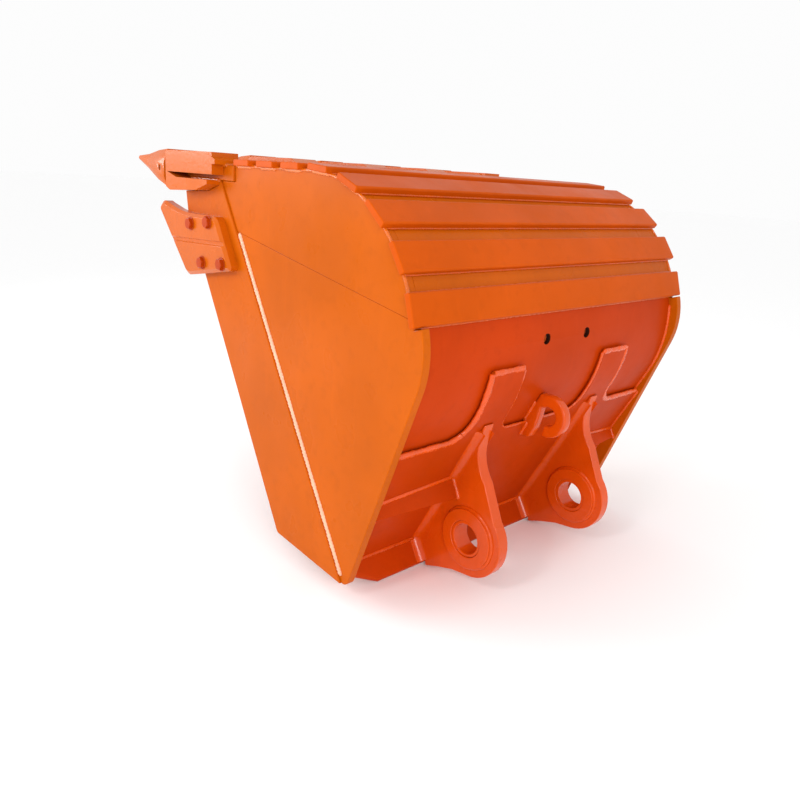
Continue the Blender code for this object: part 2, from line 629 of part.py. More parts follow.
def build_hook():
    """A plate hook for lifting, with its foot on the back plate and its mouth towards the rim."""
    half = HOOK_THICK / 2.0
    ring = arc(HOOK_Y, HOOK_Z, HOOK_OUT_R, HOOK_START, HOOK_END, 20)
    ring += arc(HOOK_Y, HOOK_Z, HOOK_IN_R, HOOK_END, HOOK_START, 16)
    hook = prism("lifting_hook", ring, HOOK_X - half, HOOK_X + half, enamel("lifting_hook"))
    foot_top = arc(HEEL_Y, HEEL_Z, HEEL_R + 2.0 * GAP, HOOK_FOOT_ANGLE, HOOK_FOOT_ANGLE, 1)[0]
    foot_mid = back_point(0.0, 2.0 * GAP)
    over = DOUBLER_THICK + 4.0 * GAP
    step_z = DOUBLER_EDGE_Z + 5.0 * GAP
    foot = [foot_top, (foot_top[0] - 0.050, foot_top[1] - 0.015)]
    foot += [(HOOK_Y + y, HOOK_Z + z) for y, z in HOOK_FOOT_EDGE]
    foot += [at_height(HOOK_Z - HOOK_FOOT_DROP, over), at_height(step_z, over)]
    foot += [at_height(step_z, 2.0 * GAP), foot_mid]
    combine(hook, prism("foot_of_hook", foot, HOOK_X - half, HOOK_X + half, None), "UNION")


def smooth_round_pieces():
    for thing in bpy.data.objects:
        if thing.type == "MESH":
            thing.data.shade_smooth()
            thing.data.set_sharp_from_angle(angle=math.radians(28.0))


def main():
    clear_scene()
    build_wrapper()
    build_sides()
    build_wear_strips()
    build_lip()
    for number in range(TOOTH_COUNT):
        build_adapter(number)
        build_tooth(number)
        build_tooth_pin(number)
    build_protectors()
    build_doubler()
    build_rim_bar()
    build_ears()
    build_hook()
    smooth_round_pieces()


main()
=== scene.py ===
"""Looks of the excavator bucket: painted steel, rounded edges, weld beads and detailed castings."""
import math

import bmesh
import bpy
from mathutils import Euler, Matrix, Vector


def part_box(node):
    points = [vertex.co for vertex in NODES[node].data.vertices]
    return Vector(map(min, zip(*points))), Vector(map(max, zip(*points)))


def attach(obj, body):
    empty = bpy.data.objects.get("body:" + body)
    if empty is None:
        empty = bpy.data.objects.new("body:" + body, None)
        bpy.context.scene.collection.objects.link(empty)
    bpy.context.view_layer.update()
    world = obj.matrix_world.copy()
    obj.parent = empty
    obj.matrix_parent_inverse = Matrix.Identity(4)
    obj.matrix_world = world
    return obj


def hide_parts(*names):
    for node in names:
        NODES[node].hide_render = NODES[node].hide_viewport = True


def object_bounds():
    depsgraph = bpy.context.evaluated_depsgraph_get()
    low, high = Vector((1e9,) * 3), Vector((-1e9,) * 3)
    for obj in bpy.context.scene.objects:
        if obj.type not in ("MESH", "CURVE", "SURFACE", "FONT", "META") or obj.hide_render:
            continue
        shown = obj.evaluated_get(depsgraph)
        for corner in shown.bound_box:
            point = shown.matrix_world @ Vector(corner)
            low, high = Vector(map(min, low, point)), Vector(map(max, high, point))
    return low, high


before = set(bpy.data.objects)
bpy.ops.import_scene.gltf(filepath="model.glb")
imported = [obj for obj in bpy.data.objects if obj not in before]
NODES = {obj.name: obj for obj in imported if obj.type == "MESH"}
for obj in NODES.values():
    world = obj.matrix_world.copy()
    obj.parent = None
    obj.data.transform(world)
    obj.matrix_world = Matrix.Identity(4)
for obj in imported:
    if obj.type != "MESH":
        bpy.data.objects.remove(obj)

CAD_LOW, CAD_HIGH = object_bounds()
BUCKET = "bucket"
SIDES = ((-1.0, "left"), (1.0, "right"))

# ---- the frame's driving dimensions, in metres ----------------------------------------------------
HEEL_Y = 0.430                      # centre of the heel curve
HEEL_Z = 0.704
HEEL_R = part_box("floor_and_heel_plate")[1].z - HEEL_Z
WRAP_THICK = 0.020
BACK_SLOPE = math.radians(27.5)
BACK_LENGTH = 0.6392
TANGENT_ANGLE = 207.5               # where the heel curve runs into the straight back plate
SIDE_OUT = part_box("side_plate_lower_right")[1].x
SIDE_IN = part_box("side_plate_lower_right")[0].x
SEAM_TOP = (1.000, 1.1587)          # seam between side plate and side bar
SEAM_BOTTOM = (0.207, -0.116)
SEAM_JOINT_Z = 0.9825               # where the two side plates meet on the seam
FLOOR_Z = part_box("lip_plate")[1].z
FLOOR_END_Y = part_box("lip_plate")[0].y
LIP_FRONT_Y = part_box("lip_plate")[1].y
LIP_BEVEL_Y = LIP_FRONT_Y - 0.065
LIP_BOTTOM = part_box("lip_plate")[0].z
STRIP_COUNT = 8
STRIP_PITCH = 0.1505
STRIP_HALF = 0.050
STRIP_FIRST_Y = 0.836
DOUBLER_THICK = 0.018
DOUBLER_TOP_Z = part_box("hinge_doubler_plate")[1].z
DOUBLER_EDGE_Z = 0.382
DOUBLER_CORNER_R = 0.060
# the arc outside a tongue: its centre (x, z), radius, first and last angle, and steps
DOUBLER_SWEEP = (0.484, 0.470, 0.088, 180.0, 270.0, 12)
TONGUE_IN = 0.234
TONGUE_OUT = 0.396
EAR_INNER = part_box("ear_right")[0].x
EAR_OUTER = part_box("ear_right")[1].x
BOSS_R = 0.110
# a rib at the ear and at the side plate: where it starts down the back plate, and its outer (down, out)
RIB_AT_EAR = (0.290, (0.336, 0.083))
RIB_AT_SIDE = (0.316, (0.342, 0.058))
RIB_UNDER_DOWN = 0.352
RIM_CORNER = (0.6865, 0.1010)       # (down, out) of the rim bar's corner
RIM_BAR_OUT = 0.019
HOOK_FOOT_Z = 0.325
TOOTH_COUNT = 5
TOOTH_PITCH = 0.370
BAR_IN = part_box("side_bar_right")[0].x
PROTECTOR_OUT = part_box("side_protector_right")[1].x
PROTECTOR_CORNERS = ((0.862, 0.843), (1.212, 0.782), (1.454, 1.030), (1.410, 1.067), (1.378, 1.055),
                     (1.278, 1.034), (1.196, 1.026), (1.086, 1.027), (0.975, 1.028))
PROTECTOR_SOFT = (0, 1, 2, 3, 8)    # the corners that are cast round
BOLT_COUNT = 4
DRAIN_HOLE_R = 0.019
DRAIN_HOLE_X = 0.118
DRAIN_HOLE_Z = 0.715
# y, and the heights of a tooth's under and upper faces, from the rear to the tip
TOOTH_SECTIONS = ((1.318, 1.120, 1.262), (1.400, 1.143, 1.256),
                  (1.500, 1.184, 1.239), (1.592, 1.217, 1.231))
ADAPTER_FLARE = 0.058               # how much an adapter's half width grows for each metre forward
ADAPTER_SHOULDER_Y = 1.310
ADAPTER_INNER_REAR_Y = 1.010        # rear of an adapter's leg inside the bucket

# ---- the finish's own dimensions, in metres ---------------------------------------------------------
SAME_PLACE = 0.00002                # corners nearer than this are one corner
FLAT_ENOUGH = math.radians(0.3)     # faces turned less than this are one flat face
SHARP = math.radians(28.0)          # edges that turn more than this are rounded
EDGE_R = 0.003                      # usual rounding of an edge
EDGE_RS = {"floor_and_heel_plate": 0.0012, "back_plate": 0.0012, "lip_plate": 0.004,
           "hinge_doubler_plate": 0.004, "hinge_rim_bar": 0.006, "lifting_hook": 0.009}
SIDE_PLATE_EDGE_R = 0.0022
PIN_EDGE_R = 0.002
EAR_EDGE_R = 0.007
CURVE_STEPS = 40                    # points along the heel curve
OUTLINE_STEP = 0.004                # points this far apart on an outline that is laid on the back
LOW_BEAD = 0.55                     # height of a bead that is kept low, as a share of a usual one's
BEAD_GAP = 0.010                    # an inside bead stops this short of a corner
CORNER_BEAD_GAP = 0.004
SEAM_WELD_SHIFT = -0.0125           # the seam's bead lies a little behind the seam
SEAM_WELD_OUT = 0.0005
SEAM_WELD_GAPS = (0.004, 0.012)     # it stops this short of the seam's top and bottom
CORNER_WELD_LAST = 165.0            # angle of the heel curve where the corner's bead ends
BACK_WELD_FIRST = 172.0             # and where the back edge's bead begins
LIP_WELD_DROP = 0.0035
STRIP_END_SINK = 0.001
STRIP_END_REACH = 0.96              # share of a strip's half width that its end weld covers
DOUBLER_WELD_OUT = 0.012
FILLET_SINK = 0.001
EAR_ROOT_DOWN = 0.060               # where an ear's root starts down the back plate
EAR_ROOT_R = 0.026
RIM_ROOT_R = 0.032
RIM_ROOT_GAP = 0.002                # the rim bar's root stops this short of the bar's corner
# (down, out) points along the hook's foot on the back plate, as far as the doubler plate
HOOK_WELD_PATH = ((-0.002, 0.0), (0.086, 0.002), (0.094, DOUBLER_THICK))
# share of a tooth's length, and the pan's half width there
PAN_SECTIONS = ((0.36, 0.036), (0.63, 0.037), (0.88, 0.040))
PAN_DEPTH = 0.0040
PAN_CLEAR = 0.030                   # how far the pan's cutter stands over the face
PAN_FLARE = 0.004                   # and how much wider it is up there
BOLT_APOTHEM = 0.0195
BOLT_CROWN = 0.94                   # the flat of a head's end, and the edge of its dome, as shares
BOLT_DOME = 0.55
BOLT_DOME_RISE = 0.0004
BOLT_TURN = 20.0                    # degrees from one bolt's corners to the next one's
HEAD_START = 0.001                  # a head starts inside its washer
NUT_GAP = 0.0003
NUT_END = 0.006                     # the nut's end, from the end of the thread
WASHER_GAP = 0.0001
WASHER_THICK = 0.0030
WASHER_R = 0.0260
WASHER_CHAMFER = 0.0010
THREAD_INSIDE = 0.002               # how far the thread reaches into the nut
THREAD_PITCH = 0.0030
THREAD_CREST_R = 0.0126
THREAD_ROOT_R = 0.0112
THREAD_END_R = 0.0100
GUARD_CORNER_R = 0.024
GUARD_BORDER = 0.0130               # width of the guard's chamfer, and how far it falls
GUARD_FALL = 0.0095
GUARD_GROOVE = ((0.82, 0.939), (1.47, 0.908))
GUARD_GROOVE_DEPTH = 0.006
GUARD_GROOVE_HALF = 0.005           # half width at the groove's floor and above the guard's face
GUARD_GROOVE_TOP_HALF = 0.012
# points round the dark lining that paints shade in each drain hole
DRAIN_SHADE_STEPS = 32

# ---- paint colours, linear; most beside ORANGE are its lit and shaded copies, painting light and shade ---
ORANGE = (0.510, 0.094, 0.001)
# painted shade: a darker, redder copy of the orange that makes the wear strips look less lit
STRIP_SHADED_ORANGE = (0.540, 0.076, 0.001)
# painted shade: a darker copy of the orange for the back plate, doubler, rim bar and ribs, which face
# down into shade
BACK_SHADED_ORANGE = (0.485, 0.041, 0.001)
# painted light: a brighter, redder copy of the orange that makes the ears, boss rings and hook look more
# lit
EAR_LIT_ORANGE = (0.660, 0.070, 0.001)
# painted shade: a darker copy of the orange for the bolt heads, washers and nuts
BOLT_SHADED_ORANGE = (0.400, 0.040, 0.001)
# painted highlight: a pale, pinkish orange for the side seam's bead, for the glints on its ripples
SEAM_WELD_HIGHLIGHT_ORANGE = (0.880, 0.420, 0.270)
# painted highlight: a pale orange for the welds at the strip ends, for their glints
STRIP_END_HIGHLIGHT_ORANGE = (0.750, 0.210, 0.060)
# painted shade: the near-black colour that lines the drain holes, where only shade is seen
DRAIN_SHADE_COLOUR = (0.030, 0.006, 0.002)
STEEL = (0.330, 0.320, 0.310)


# ---- materials ------------------------------------------------------------------------------------
class Nodes:
    """A short way to add and join shader nodes in one material."""

    def __init__(self, name):
        self.paint = bpy.data.materials.new(name)
        self.paint.use_nodes = True
        self.tree = self.paint.node_tree
        self.shader = self.tree.nodes["Principled BSDF"]
        self.place = self.add("ShaderNodeTexCoord").outputs["Object"]

    def add(self, kind, **settings):
        node = self.tree.nodes.new(kind)
        for key, value in settings.items():
            setattr(node, key, value)
        return node

    def join(self, output, socket):
        self.tree.links.new(output, socket)

    def noise(self, scale, detail=2.0, stretch=None):
        """Noise from 0 to 1 at the given scale per metre, stretched along the axes if asked."""
        node = self.add("ShaderNodeTexNoise")
        node.inputs["Scale"].default_value = scale
        node.inputs["Detail"].default_value = detail
        source = self.place
        if stretch:
            mapping = self.add("ShaderNodeMapping")
            mapping.inputs["Scale"].default_value = stretch
            self.join(source, mapping.inputs["Vector"])
            source = mapping.outputs["Vector"]
        self.join(source, node.inputs["Vector"])
        return node.outputs["Fac"]

    def span(self, value, low, high, to_low, to_high):
        node = self.add("ShaderNodeMapRange")
        self.join(value, node.inputs["Value"])
        node.inputs["From Min"].default_value = low
        node.inputs["From Max"].default_value = high
        node.inputs["To Min"].default_value = to_low
        node.inputs["To Max"].default_value = to_high
        return node.outputs["Result"]

    def mix(self, share, first, second):
        node = self.add("ShaderNodeMix", data_type="RGBA")
        self.join(share, node.inputs["Factor"])
        for value, socket in ((first, node.inputs["A"]), (second, node.inputs["B"])):
            if isinstance(value, tuple):
                socket.default_value = (*value, 1.0)
            else:
                self.join(value, socket)
        return node.outputs["Result"]

    def bump(self, height, distance, strength, below=None):
        node = self.add("ShaderNodeBump")
        node.inputs["Distance"].default_value = distance
        node.inputs["Strength"].default_value = strength
        self.join(height, node.inputs["Height"])
        if below is not None:
            self.join(below, node.inputs["Normal"])
        return node.outputs["Normal"]


def shade(colour, factor):
    return tuple(channel * factor for channel in colour)


def enamel(name, colour, gloss=0.30, plate_wave=0.5, coat=0.35, rough_cast=0.0, shine=0.05):
    """Sprayed enamel over steel: cloudy colour, thin runs, orange peel, and plate that isn't flat."""
    make = Nodes(name)
    cloud = make.noise(2.2, 3.0)
    mottle = make.noise(26.0, 4.0)
    runs = make.noise(9.0, 2.0, (3.0, 3.0, 0.35))
    speck = make.noise(420.0, 1.0)
    pale = make.mix(make.span(cloud, 0.35, 0.70, 0.0, 1.0), shade(colour, 0.90), shade(colour, 1.08))
    worn = make.mix(make.span(mottle, 0.52, 0.72, 0.0, 0.35), pale, shade(colour, 0.82))
    thin = make.mix(make.span(runs, 0.60, 0.80, 0.0, 0.25), worn, shade(colour, 1.18))
    dust = make.mix(make.span(speck, 0.70, 0.78, 0.0, 0.22), thin, (0.30, 0.16, 0.09))
    make.join(dust, make.shader.inputs["Base Color"])

    patch = make.noise(7.0, 3.0)
    make.join(make.span(patch, 0.30, 0.75, gloss - 0.06, gloss + 0.12), make.shader.inputs["Roughness"])
    wave = make.bump(make.noise(3.4, 1.0), 0.012, plate_wave)
    if rough_cast > 0.0:
        wave = make.bump(make.noise(55.0, 4.0), 0.0022, rough_cast, wave)
    peel = make.bump(make.noise(300.0, 2.0), 0.0006, 0.16, wave)
    make.join(peel, make.shader.inputs["Normal"])
    make.shader.inputs["Specular IOR Level"].default_value = shine
    make.shader.inputs["Coat Weight"].default_value = coat
    make.shader.inputs["Coat Roughness"].default_value = 0.12
    return make.paint


def weld_enamel(name, colour):
    """Enamel on a weld that shines on the ripples, in a colour given as one of the orange's lit and
    shaded copies, painting light and shade.
    """
    make = Nodes(name)
    cloud = make.noise(14.0, 3.0)
    ripple = make.noise(180.0, 3.0)
    base = make.mix(make.span(cloud, 0.35, 0.70, 0.0, 1.0), shade(colour, 0.92), shade(colour, 1.12))
    spatter = make.mix(make.span(ripple, 0.62, 0.75, 0.0, 0.4), base, shade(colour, 0.70))
    make.join(spatter, make.shader.inputs["Base Color"])
    make.join(make.span(ripple, 0.3, 0.7, 0.20, 0.36), make.shader.inputs["Roughness"])
    make.join(make.bump(ripple, 0.0012, 0.5), make.shader.inputs["Normal"])
    make.shader.inputs["Specular IOR Level"].default_value = 0.3
    make.shader.inputs["Coat Weight"].default_value = 0.3
    make.shader.inputs["Coat Roughness"].default_value = 0.12
    return make.paint


def bare_steel(name, colour):
    """Turned steel with a faint brushed grain round the pin and darker oily patches."""
    make = Nodes(name)
    grain = make.noise(900.0, 2.0, (1.0, 0.1, 0.1))
    oil = make.noise(60.0, 3.0)
    base = make.mix(make.span(oil, 0.35, 0.75, 0.0, 1.0), colour, shade(colour, 0.45))
    make.join(base, make.shader.inputs["Base Color"])
    make.join(make.span(grain, 0.2, 0.8, 0.25, 0.45), make.shader.inputs["Roughness"])
    make.join(make.bump(grain, 0.0003, 0.3), make.shader.inputs["Normal"])
    make.shader.inputs["Metallic"].default_value = 0.9
    return make.paint


PLATE = enamel("orange_plate_enamel", ORANGE, coat=0.05)
# painted light: the castings' orange is the plate orange made 5% lighter
CAST = enamel("orange_cast_enamel", shade(ORANGE, 1.05), gloss=0.27, plate_wave=0.15, coat=0.20,
              rough_cast=0.35, shine=0.12)
# painted light: the ears' brighter copy of the orange
EAR = enamel("ear_lit_orange_enamel", EAR_LIT_ORANGE, gloss=0.27, plate_wave=0.15, coat=0.45, rough_cast=0.15,
             shine=0.12)
# painted shade: the darker copy of the orange for the back of the bucket
BACK_SHADED_PAINT = enamel("back_shaded_orange_enamel", BACK_SHADED_ORANGE, gloss=0.36, plate_wave=0.4, coat=0.0)
# painted shade: the strips' darker copy of the orange
STRIP = enamel("strip_shaded_orange_enamel", STRIP_SHADED_ORANGE, gloss=0.36, plate_wave=0.3, coat=0.0)
# painted highlight: the welds' orange is the plate orange made 15% lighter, and the seam and strip end
# welds take pale glint colours
WELD = weld_enamel("weld_enamel", shade(ORANGE, 1.15))
SEAM_WELD = weld_enamel("seam_weld_enamel", SEAM_WELD_HIGHLIGHT_ORANGE)
PALE_WELD = weld_enamel("pale_weld_enamel", STRIP_END_HIGHLIGHT_ORANGE)
# painted shade: the strip welds take the strips' darker copy of the orange
STRIP_WELD = weld_enamel("strip_weld_enamel", STRIP_SHADED_ORANGE)
# painted light: the welds on the back plate take the ears' brighter copy of the orange
EAR_LIT_WELD = weld_enamel("ear_lit_weld_enamel", EAR_LIT_ORANGE)
# painted shade: the bolts' darker copy of the orange
BOLT = enamel("bolt_enamel", BOLT_SHADED_ORANGE, gloss=0.30, plate_wave=0.0, coat=0.20, rough_cast=0.25)
PIN = bare_steel("pin_bare_steel", STEEL)
# painted shade: dark enamel for the lining of the drain holes
DRAIN_SHADE_PAINT = enamel("drain_hole_painted_shade", DRAIN_SHADE_COLOUR, gloss=0.60, plate_wave=0.0, coat=0.0, rough_cast=0.5)


# ---- finish on the CAD nodes ------------------------------------------------------------------------
def rejoin_group(smooth):
    """A node group that rejoins the solid's split corners, so that edges can be rounded."""
    group = bpy.data.node_groups.new("rejoin_smooth" if smooth else "rejoin_flat", "GeometryNodeTree")
    group.interface.new_socket(name="Geometry", in_out="INPUT", socket_type="NodeSocketGeometry")
    group.interface.new_socket(name="Geometry", in_out="OUTPUT", socket_type="NodeSocketGeometry")
    start = group.nodes.new("NodeGroupInput")
    drop = group.nodes.new("GeometryNodeRemoveAttribute")
    drop.inputs["Name"].default_value = "custom_normal"
    merge = group.nodes.new("GeometryNodeMergeByDistance")
    merge.inputs["Distance"].default_value = SAME_PLACE
    shading = group.nodes.new("GeometryNodeSetShadeSmooth")
    shading.inputs["Shade Smooth"].default_value = smooth
    end = group.nodes.new("NodeGroupOutput")
    for first, second in ((start, drop), (drop, merge), (merge, shading), (shading, end)):
        group.links.new(first.outputs["Geometry"], second.inputs["Geometry"])
    return group


REJOIN_SMOOTH = rejoin_group(True)
REJOIN_FLAT = rejoin_group(False)
FLAT_SIDED = ("side_plate", "side_bar", "wear_strip", "lip_plate", "tooth_adapter", "hinge_rib",
              "hinge_rim")


def round_edges(thing, width, segments=2, harden=True):
    step = thing.modifiers.new("rounded_edges", "BEVEL")
    step.width = width
    step.segments = segments
    step.limit_method = "ANGLE"
    step.angle_limit = SHARP
    step.harden_normals = harden


def finish_node(name, paint, width):
    """Gives a CAD node its paint and small rounded edges."""
    thing = NODES[name]
    for place in thing.material_slots:
        place.material = paint
    flat_sided = name.startswith(FLAT_SIDED)
    thing.modifiers.new("rejoin", "NODES").node_group = REJOIN_FLAT if flat_sided else REJOIN_SMOOTH
    flat = thing.modifiers.new("flat_faces", "DECIMATE")
    flat.decimate_type = "DISSOLVE"
    flat.angle_limit = FLAT_ENOUGH
    round_edges(thing, width, 3 if width > EDGE_R else 2, not flat_sided)


def solid_copy(node):
    """The CAD node's solid with its corners joined and its flat faces whole, as free mesh data."""
    mesh_data = bmesh.new()
    mesh_data.from_mesh(NODES[node].data)
    bmesh.ops.remove_doubles(mesh_data, verts=mesh_data.verts, dist=SAME_PLACE)
    bmesh.ops.dissolve_limit(mesh_data, angle_limit=FLAT_ENOUGH, verts=mesh_data.verts,
                             edges=mesh_data.edges)
    return mesh_data


def node_paint(name):
    # the parts on the back of the bucket take the darker copy of the orange, painted shade
    if name in ("back_plate", "hinge_doubler_plate", "hinge_rim_bar") or name.startswith("hinge_rib"):
        return BACK_SHADED_PAINT
    if name.startswith("wear_strip"):
        return STRIP
    if name.startswith("tooth_pin"):
        return PIN
    if name.startswith(("tooth_", "side_protector", "protector_bolt")):
        return CAST
    if name.startswith(("ear", "lifting")):
        return EAR
    return PLATE


def node_edge(name):
    """How much a node's edges are rounded."""
    if name.startswith("side_plate"):
        return SIDE_PLATE_EDGE_R
    if name.startswith("tooth_pin"):
        return PIN_EDGE_R
    if name in ("ear_left", "ear_right"):
        return EAR_EDGE_R
    return EDGE_RS.get(name, EDGE_R)


def finish_nodes():
    for name in NODES:
        finish_node(name, node_paint(name), node_edge(name))


# ---- paths on the shell ---------------------------------------------------------------------------
def arc(y, z, radius, start, end, steps):
    points = []
    for i in range(steps + 1):
        angle = math.radians(start + (end - start) * i / steps)
        points.append((y + radius * math.cos(angle), z + radius * math.sin(angle)))
    return points


def back_point(down, out):
    """A point beside the straight back plate: down its outer face, and out from that face."""
    start_y = HEEL_Y - HEEL_R * math.cos(BACK_SLOPE)
    start_z = HEEL_Z - HEEL_R * math.sin(BACK_SLOPE)
    y = start_y + down * math.sin(BACK_SLOPE) - out * math.cos(BACK_SLOPE)
    z = start_z - down * math.cos(BACK_SLOPE) - out * math.sin(BACK_SLOPE)
    return (y, z)


def wrap_path(out, first_angle, last_down):
    """Along the wrapper's outer face, moved out by out, from an angle of the heel curve down the back."""
    points = arc(HEEL_Y, HEEL_Z, HEEL_R + out, first_angle, TANGENT_ANGLE, CURVE_STEPS)
    if last_down > 0.0:
        points.append(back_point(last_down, out))
    return points


def wrap_y(z, out):
    """Y of the wrapper's outer face at height z, with the face moved out by out."""
    tangent = back_point(0.0, out)
    if z < tangent[1]:
        return tangent[0] + (tangent[1] - z) * math.tan(BACK_SLOPE)
    radius = HEEL_R + out
    return HEEL_Y - math.sqrt(radius * radius - (z - HEEL_Z) ** 2)


def seam_y(z):
    share = (z - SEAM_BOTTOM[1]) / (SEAM_TOP[1] - SEAM_BOTTOM[1])
    return SEAM_BOTTOM[0] + share * (SEAM_TOP[0] - SEAM_BOTTOM[0])


def at_x(x, outline):
    return [Vector((x, y, z)) for y, z in outline]


def tooth_x(number):
    return (number - (TOOTH_COUNT - 1) / 2.0) * TOOTH_PITCH


BACK_FACING = Vector((0.0, -math.cos(BACK_SLOPE), -math.sin(BACK_SLOPE)))


# ---- weld beads -----------------------------------------------------------------------------------
def resample(points, step):
    """The same path with points a step apart."""
    out = [points[0].copy()]
    carry = 0.0
    for first, second in zip(points, points[1:]):
        run = (second - first).length
        if run < 1e-9:
            continue
        at = step - carry
        while at <= run:
            out.append(first.lerp(second, at / run))
            at += step
        carry = (carry + run) % step
    if (out[-1] - points[-1]).length > step * 0.3:
        out.append(points[-1].copy())
    return out


def skin_rings(mesh_data, rings, caps=True):
    """Joins rings of vertices one to the next, and closes the first and the last."""
    count = len(rings[0])
    for first, second in zip(rings, rings[1:]):
        for k in range(count):
            j = (k + 1) % count
            mesh_data.faces.new((first[k], first[j], second[j], second[k]))
    if caps:
        mesh_data.faces.new(list(reversed(rings[0])))
        mesh_data.faces.new(rings[-1])


def bead_stations(path, radius, seed):
    """Stations along a bead: the point, two sideways directions, the length so far, and the radius."""
    travelled = 0.0
    last = len(path) - 1
    for i, point in enumerate(path):
        before = path[max(i - 1, 0)]
        after = path[min(i + 1, last)]
        travelled += (point - before).length
        along = (after - before).normalized()
        helper = Vector((1.0, 0.0, 0.0))
        if abs(along.x) > 0.7:
            helper = Vector((0.0, 0.0, 1.0))
        side = along.cross(helper).normalized()
        up = side.cross(along)
        wander = 1.0 + 0.07 * math.sin(travelled * 61.0 + seed)
        wander += 0.05 * math.sin(travelled * 173.0 + 2.0 * seed)
        to_end = min(i, last - i) / 3.0
        taper = 0.45 + 0.55 * min(1.0, to_end)
        yield point, side, up, travelled, radius * wander * taper


def add_bead(mesh_data, points, radius, ripple=0.16, pitch=0.0085, step=0.0028, sides=8, seed=0.0,
             low=None):
    """Adds one closed, rippled bead along the points; half of it sinks into the joint.

    A bead can be kept low by giving low: the direction to press it along, and the share of its height.
    """
    path = resample(points, step)
    if len(path) < 3:
        return
    rings = []
    for point, side, up, travelled, size in bead_stations(path, radius, seed):
        ring = []
        for k in range(sides):
            turn = 2.0 * math.pi * k / sides
            phase = travelled / pitch + 0.18 * math.cos(2.0 * turn)
            wave = 1.0 - ripple * (phase % 1.0)
            offset = (side * math.cos(turn) + up * math.sin(turn)) * (size * wave)
            if low is not None:
                offset -= low[0] * (offset.dot(low[0]) * (1.0 - low[1]))
            ring.append(mesh_data.verts.new(point + offset))
        rings.append(ring)
    skin_rings(mesh_data, rings)


def new_piece(name, mesh_data, paint, body=BUCKET):
    bmesh.ops.recalc_face_normals(mesh_data, faces=mesh_data.faces)
    mesh = bpy.data.meshes.new(name)
    mesh_data.to_mesh(mesh)
    mesh_data.free()
    mesh.shade_smooth()
    mesh.materials.append(paint)
    thing = bpy.data.objects.new(name, mesh)
    bpy.context.scene.collection.objects.link(thing)
    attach(thing, body)
    return thing


def weld_piece(name, runs, radius, paint=WELD, slot="orange_enamel", **settings):
    """One piece holding every run of weld of a kind."""
    mesh_data = bmesh.new()
    for number, run in enumerate(runs):
        add_bead(mesh_data, run, radius, seed=float(number), **settings)
    return new_piece(name, mesh_data, paint)


def strip_frame(number):
    """Middle of a wear strip's foot, the way it faces, and the way along the wrapper."""
    run = number * STRIP_PITCH
    flat = STRIP_FIRST_Y - HEEL_Y
    facing = math.pi / 2.0
    foot = (STRIP_FIRST_Y - run, FLOOR_Z)
    if run > flat:
        facing += (run - flat) / HEEL_R
        foot = (HEEL_Y + HEEL_R * math.cos(facing), HEEL_Z + HEEL_R * math.sin(facing))
    out = (math.cos(facing), math.sin(facing))
    along = (-math.sin(facing), math.cos(facing))
    return foot, out, along


def side_welds():
    floor_inside = FLOOR_Z - WRAP_THICK
    for side, tag in SIDES:
        ends = (SEAM_JOINT_Z - SEAM_WELD_GAPS[0], SEAM_BOTTOM[1] + SEAM_WELD_GAPS[1])
        x = side * (SIDE_OUT + SEAM_WELD_OUT)
        outer = [Vector((x, seam_y(z) + SEAM_WELD_SHIFT, z)) for z in ends]
        weld_piece("side_seam_weld_" + tag, [outer], radius=0.0108, paint=SEAM_WELD, ripple=0.30,
                   pitch=0.0130, step=0.0024, sides=14, low=(Vector((1.0, 0.0, 0.0)), LOW_BEAD))
        ends = (SEAM_TOP[1] - BEAD_GAP, SEAM_BOTTOM[1] + BEAD_GAP)
        inner = [Vector((side * SIDE_IN, seam_y(z), z)) for z in ends]
        inside = at_x(side * SIDE_IN, [(FLOOR_END_Y - BEAD_GAP, floor_inside), (HEEL_Y, floor_inside)])
        inside += at_x(side * SIDE_IN, wrap_path(-WRAP_THICK, 90.0, BACK_LENGTH))
        weld_piece("side_inner_weld_" + tag, [inner, inside], radius=0.0075, ripple=0.18, step=0.0035)
        curve = arc(HEEL_Y, HEEL_Z, HEEL_R, 90.0, CORNER_WELD_LAST, CURVE_STEPS)
        corner = at_x(side * SIDE_OUT, [(FLOOR_END_Y - CORNER_BEAD_GAP, FLOOR_Z), (HEEL_Y, FLOOR_Z)])
        corner += at_x(side * SIDE_OUT, curve)
        weld_piece("wrap_corner_weld_" + tag, [corner], radius=0.0055, ripple=0.20)
        upper = at_x(side * SIDE_IN, wrap_path(0.0, BACK_WELD_FIRST, 0.0))
        upper.append(Vector((side * SIDE_IN, wrap_y(DOUBLER_EDGE_Z, 0.0), DOUBLER_EDGE_Z)))
        lower = [Vector((side * SIDE_IN, wrap_y(z, DOUBLER_THICK), z))
                 for z in (DOUBLER_EDGE_Z, back_point(BACK_LENGTH, 0.0)[1])]
        weld_piece("back_edge_weld_" + tag, [upper, lower], radius=0.0085, paint=EAR_LIT_WELD,
                   slot="shaded_orange_enamel")


def strip_welds():
    runs = []
    ends = []
    for number in range(STRIP_COUNT):
        foot, out, along = strip_frame(number)
        for share in (-1.0, 1.0):
            y = foot[0] + share * STRIP_HALF * along[0]
            z = foot[1] + share * STRIP_HALF * along[1]
            runs.append([Vector((-SIDE_OUT, y, z)), Vector((SIDE_OUT, y, z))])
        reach = STRIP_END_REACH * STRIP_HALF
        outline = [(foot[0] + away * along[0] - STRIP_END_SINK * out[0],
                    foot[1] + away * along[1] - STRIP_END_SINK * out[1]) for away in (-reach, reach)]
        for side, _ in SIDES:
            ends.append(at_x(side * SIDE_OUT, outline))
    weld_piece("strip_edge_welds", runs, radius=0.0042, paint=STRIP_WELD, slot="wear_strip_enamel",
               ripple=0.10, pitch=0.010, step=0.0048, sides=6)
    weld_piece("strip_end_welds", ends, radius=0.0090, paint=PALE_WELD, slot="wear_strip_enamel",
               ripple=0.22)


